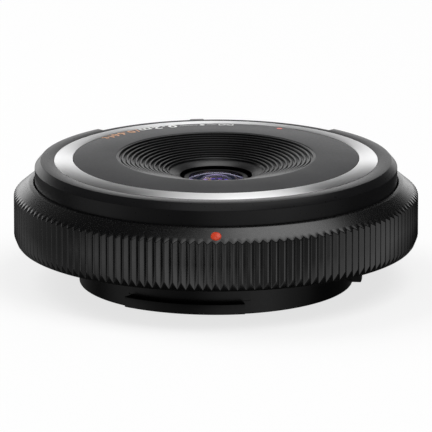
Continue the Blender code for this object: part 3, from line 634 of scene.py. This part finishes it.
def make_scale():
    """The focus scale: shut, far, hyperfocal and near marks, at their places from the +Y side."""
    lay_on_face("shut_mark", [disc(0.40, SCALE_R, 90 - 28.2)], DOT_RED)
    lay_on_face("far_mark", infinity_sign(90 - 4.3), MARK_WHITE)
    lay_on_face("middle_mark", [disc(0.36, SCALE_R, 90 + 5.9)], MARK_WHITE)
    bars = [stripe(SCALE_R, 90 - 0.3, 90 + 4.0, 0.12), stripe(SCALE_R, 90 + 7.8, 90 + 15.7, 0.12)]
    lay_on_face("scale_bars", bars, MARK_WHITE)
    scale_text("near_metres", "0.2m", 90 + 16.9, 90 + 33.9, MARK_WHITE)
    scale_text("near_feet", "/0.66ft", 90 + 34.6, 90 + 55.0, MARK_ORANGE)


# ---------------------------------------------------------------- rear

def screw_mesh(name, radius, height, seat, shank, tip, away):
    """A pan-head screw seen from below, with a cross recess, at a distance along +X."""
    low = seat - height
    section = [(0.0, low), (radius * 0.72, low), (radius * 0.9, low + 0.04), (radius, low + height * 0.45),
               (radius, seat), (shank, seat), (shank, tip), (0.0, tip)]
    body = lathe_mesh(name, section, 32)
    deep = height * 0.75
    arms = [box_mesh("recess", (radius * 1.15, radius * 0.24, deep * 2), (0, 0, low), turn, 0.02)
            for turn in (20.0, 110.0)]
    cut = combined(body, [("DIFFERENCE", arm) for arm in arms])
    cut.transform(Matrix.Translation((away * MM, 0, 0)))
    return cut


def make_rear():
    """The bayonet plate with its claws, the screws and the rear light baffle."""
    top = MOUNT_HIGH[2]
    section = rounded([
        (16.8, 0.0, 0.12), (18.96, 0.0, 0.15), (18.96, 4.88, 0.0), (22.8, 4.88, 0.08), (22.8, top, 0.03),
        (16.8, top, 0.03),
    ], 0.05, 4)
    body = lathe_mesh("bayonet", section, 288)
    steps = []
    for index in range(3):
        claw = rounded([(18.3, 0.31), (20.3, 0.31, 0.14), (20.3, 1.79, 0.10), (18.3, 1.79)], 0.0, 3)
        mesh = lathe_mesh("claw", claw, 48, 232.0 + 120 * index, 49.3)
        steps.append(("UNION", mesh))
        groove = lathe_mesh("groove", [(18.86, 1.84), (19.4, 1.84), (19.4, 2.02), (18.86, 2.02)], 48,
                            231.0 + 120 * index, 53.4)
        steps.append(("DIFFERENCE", groove))
    hole = lathe_mesh("lock hole", [(0.0, 4.0), (1.0, 4.0), (1.0, 6.0), (0.0, 6.0)], 32)
    x, y = polar(20.95, 205.0)
    hole.transform(Matrix.Translation((x * MM, y * MM, 0)))
    steps.append(("DIFFERENCE", hole))
    for degrees in (60.0, 180.0, 300.0):
        bore = lathe_mesh("bore", [(0.0, 4.0), (1.3, 4.0), (1.3, 5.23), (0.65, 5.23), (0.65, 6.0), (0.0, 6.0)], 32)
        x, y = polar(20.95, degrees)
        bore.transform(Matrix.Translation((x * MM, y * MM, 0)))
        steps.append(("DIFFERENCE", bore))
    settle(link("bayonet", combined(body, steps)), MOUNT_BLACK, "housing", ["mount_plate"], 28.0)
    screws = ring_of("mount_screws", screw_mesh("screw", 1.2, 0.3, 5.18, 0.6, 6.3, 20.95), 3, BLACK_SCREW, 60.0)
    settle(screws, BLACK_SCREW, "housing", ["mount_screw_1", "mount_screw_2", "mount_screw_3"])
    screws = ring_of("cover_screws", screw_mesh("screw", 0.8, 0.5, 6.05, 0.4, 12.5, 25.15), 3, BLACK_SCREW, 30.0)
    settle(screws, BLACK_SCREW, "housing", ["cover_screw_1", "cover_screw_2", "cover_screw_3"])
    low, high = BAFFLE_LOW[2], BAFFLE_HIGH[2]
    disc_section = [(0.0, low), (16.55, low), (16.65, low + 0.1), (16.65, high), (0.0, high)]
    disc_mesh = lathe_mesh("baffle", disc_section, 192)
    window = box_mesh("window", (13.0, 10.0, 4.0), (0, 0, low), 0.0)
    fine = combined(disc_mesh, [("DIFFERENCE", window)])
    settle(link("light_baffle", fine), INNER_BLACK, "housing", ["rear_baffle"])


# ---------------------------------------------------------------- lever and lens block

def make_knob():
    """The lever's knob: a rounded block on the stem."""
    low, high = 15.5, KNOB_HIGH[2]
    body = box_mesh("knob", (2.0, 2.1, high - low), (24.3, 0, (low + high) / 2), LEVER_ANGLE, 0.25)
    socket = box_mesh("socket", (0.6, 1.3, 1.7), (23.9, 0, low), LEVER_ANGLE)
    settle(link("lever_knob", combined(body, [("DIFFERENCE", socket)])), COVER_BLACK, "focus_lever", ["focus_knob"],
           28.0)


def make_lens():
    """The domed front glass, its thin retaining ring and the nose that holds it."""
    apex = GLASS_HIGH[2]
    reach = 4.0
    dome_r = 12.0
    face = [(reach * i / 16, apex - dome_r + math.sqrt(dome_r ** 2 - (reach * i / 16) ** 2)) for i in range(17)]
    base = GLASS_LOW[2]
    hollow_r, hollow_reach = 4.6, 2.9
    rise = math.sqrt(hollow_r ** 2 - hollow_reach ** 2)
    hollow = [(hollow_reach * i / 12, base + math.sqrt(hollow_r ** 2 - (hollow_reach * i / 12) ** 2) - rise)
              for i in range(13)]
    section = face + [(reach, base)] + hollow[::-1]
    glass = lathe_mesh("front_glass", section, 96)
    settle(link("front_glass", glass), FRONT_GLASS, "lens_block", ["front_element"], 50.0)
    low, high = CELL_LOW[2], CELL_HIGH[2]
    ring = rounded([(3.8, low), (4.4, low), (4.4, high, 0.03), (3.8, high, 0.03)], 0.0)
    settle(link("retaining_ring", lathe_mesh("retaining_ring", ring, 96)), COVER_BLACK, "lens_block",
           ["front_retainer"])
    nose = rounded([
        (4.05, 14.55), (4.4, 14.55), (4.4, 14.0), (4.9, 14.0, 0.1), (4.9, 11.6), (8.85, 11.6), (8.85, 7.2),
        (4.9, 7.2), (4.9, 6.5), (3.6, 6.5), (3.6, 12.6), (3.0, 12.6), (3.0, 13.35), (4.05, 13.35),
    ], 0.03, 2)
    barrel = lathe_mesh("barrel", nose, 96)
    holes = []
    for degrees in (30.0, 150.0, 270.0):
        hole = lathe_mesh("hole", [(0.0, 7.55), (0.75, 7.55), (0.75, 10.0), (0.0, 10.0)], 24)
        lay = Matrix.Rotation(math.radians(90), 4, "Y")
        hole.transform(Matrix.Rotation(math.radians(degrees), 4, "Z") @ Matrix.Translation((0, 0, 9.4 * MM)) @ lay)
        holes.append(("DIFFERENCE", hole))
    settle(link("barrel", combined(barrel, holes)), INNER_BLACK, "lens_block", ["lens_barrel"])


# ---------------------------------------------------------------- nodes carried over

LOOK_OF_SLOT = {
    "moulded_black": INNER_BLACK, "satin_black": COVER_BLACK, "silver_trim": SILVER,
    "blackened_metal": BLADE_METAL, "coated_glass": INNER_GLASS, "index_paint": DOT_RED,
    "spring_steel": SPRING_STEEL, "screw_steel": BLACK_SCREW, "brass_pin": BRASS,
}


def paint_nodes():
    """Gives every carried-over node the finish of its slot."""
    slot_of_node = {part["node"]: part["material_slot"] for part in frame["record"]["subparts"]}
    for name, obj in frame["nodes"].items():
        look = LOOK_OF_SLOT[slot_of_node[name]]
        if not obj.material_slots:
            obj.data.materials.append(look)
        for place in obj.material_slots:
            place.material = look


# ---------------------------------------------------------------- floor, light and camera

AMBIENT = 0.30            # even light from all round
SURROUND_BASE = 0.02      # what black plastic mirrors where the studio is dark
BACK_GLOW = 1.5           # the lit back wall, as the lens mirrors it
SOFT_BOXES = (            # as the lens mirrors them: direction, cosine where each fades out, strength
    ((0.33, 0.08, 0.94), 0.91, 2.4),
    ((0.03, 0.55, 0.83), 0.955, 2.6),
    ((0.0, -0.45, 0.893), 0.88, 1.1),
    ((0.35, -0.87, -0.35), 0.72, 0.75),
    ((0.80, -0.50, -0.30), 0.80, 0.45),
    ((-0.75, -0.60, -0.25), 0.75, 0.25),
    ((-0.90, -0.15, -0.30), 0.82, 0.55),
)
FLOOR_CARD = 0.28
FLOOR_GLOW = 0.74         # adds up to white with the light that the card returns


def stretch(tree, value, start, end, low, high):
    """A soft step of a value between two limits."""
    return node(tree, "ShaderNodeMapRange", {"Value": value, "From Min": start, "From Max": end, "To Min": low,
                                             "To Max": high}, interpolation_type="SMOOTHSTEP").outputs["Result"]


def product(tree, first, second, operation="MULTIPLY"):
    """Two values multiplied, or joined by another operation."""
    return node(tree, "ShaderNodeMath", {0: first, 1: second}, operation=operation).outputs[0]


def by_ray(tree, seen, mirrored, other):
    """One strength for what the camera sees, one for reflections, and one for light."""
    path = node(tree, "ShaderNodeLightPath").outputs
    straight = product(tree, path["Is Camera Ray"], path["Is Transmission Ray"], "MAXIMUM")
    strength = other
    for is_ray, value in ((path["Is Glossy Ray"], mirrored), (straight, seen)):
        mix = node(tree, "ShaderNodeMix", {"Factor": is_ray}, data_type="FLOAT")
        for key, given in (("A", strength), ("B", value)):
            if isinstance(given, bpy.types.NodeSocket):
                tree.links.new(given, mix.inputs[key])
            else:
                mix.inputs[key].default_value = given
        strength = mix.outputs["Result"]
    return strength


def make_stage():
    """A white floor that keeps the shadow."""
    mesh = bpy.data.meshes.new("floor")
    size = 6.0
    mesh.from_pydata([(-size, -size, 0), (size, -size, 0), (size, size, 0), (-size, size, 0)], [], [(0, 1, 2, 3)])
    floor = link("floor", mesh)
    material = bpy.data.materials.new("white card")
    material.use_nodes = True
    tree = material.node_tree
    tree.nodes.remove(tree.nodes["Principled BSDF"])
    card = node(tree, "ShaderNodeBsdfDiffuse", {"Color": (FLOOR_CARD, FLOOR_CARD, FLOOR_CARD, 1.0)}).outputs[0]
    light = node(tree, "ShaderNodeEmission", {"Strength": by_ray(tree, FLOOR_GLOW, 0.0, 0.0)}).outputs[0]
    both = node(tree, "ShaderNodeAddShader", {0: card, 1: light}).outputs[0]
    tree.links.new(both, tree.nodes["Material Output"].inputs["Surface"])
    floor.visible_glossy = False
    mesh.materials.append(material)


def make_world():
    """A white surround; in reflections it is a lit back wall, brighter to the left, in a dark room."""
    world = bpy.data.worlds.new("surround")
    bpy.context.scene.world = world
    world.use_nodes = True
    tree = world.node_tree
    towards = node(tree, "ShaderNodeTexCoord").outputs["Generated"]
    side = node(tree, "ShaderNodeSeparateXYZ", {"Vector": towards}).outputs
    back = stretch(tree, side["Y"], 0.30, 0.90, 0.0, BACK_GLOW)
    left = stretch(tree, side["X"], 0.22, 0.50, 1.0, 0.08)
    low = stretch(tree, side["Z"], 0.20, 0.32, 1.0, 0.08)
    over_floor = stretch(tree, side["Z"], -0.16, -0.02, 0.05, 1.0)
    wall = product(tree, product(tree, back, left), product(tree, low, over_floor))
    mirrored = product(tree, wall, SURROUND_BASE, "ADD")
    for aim, wide, strength in SOFT_BOXES:
        near = node(tree, "ShaderNodeVectorMath", {0: towards, 1: aim}, operation="DOT_PRODUCT").outputs["Value"]
        mirrored = product(tree, mirrored, stretch(tree, near, wide, 0.995, 0.0, strength), "ADD")
    strength = by_ray(tree, 1.0, mirrored, AMBIENT)
    tree.links.new(strength, tree.nodes["Background"].inputs["Strength"])
    tree.nodes["Background"].inputs["Color"].default_value = (1, 1, 1, 1)


def soft_box(name, place, size, power):
    """An area lamp that faces the lens."""
    lamp = bpy.data.lights.new(name, "AREA")
    lamp.shape = "SQUARE"
    lamp.size = size
    lamp.energy = power
    obj = bpy.data.objects.new(name, lamp)
    bpy.context.scene.collection.objects.link(obj)
    obj.location = place
    obj.rotation_euler = (-Vector(place)).to_track_quat("-Z", "Y").to_euler()
    obj.visible_camera = False
    obj.visible_glossy = False


def make_camera():
    """The view from just above the lens, from far away with a long focal length."""
    rise = math.radians(14.462)
    away = 1.158
    target = Vector((0, 0, 0.009066))
    camera = bpy.data.cameras.new("camera")
    camera.sensor_width = 36.0
    camera.lens = 696.4
    camera.clip_end = 50.0
    obj = bpy.data.objects.new("camera", camera)
    bpy.context.scene.collection.objects.link(obj)
    obj.location = target + Vector((0, -away * math.cos(rise), away * math.sin(rise)))
    obj.rotation_euler = (math.pi / 2 - rise, 0, 0)
    bpy.context.scene.camera = obj


make_camera()
make_grip()
make_front()
make_face()
make_scale()
make_rear()
make_knob()
make_lens()
paint_nodes()
make_stage()
make_world()
soft_box("key", (-0.45, 0.25, 0.6), 0.5, 2.4)
soft_box("top", (0.28, -0.15, 0.72), 0.5, 2.6)
bpy.context.scene.view_settings.view_transform = "Standard"
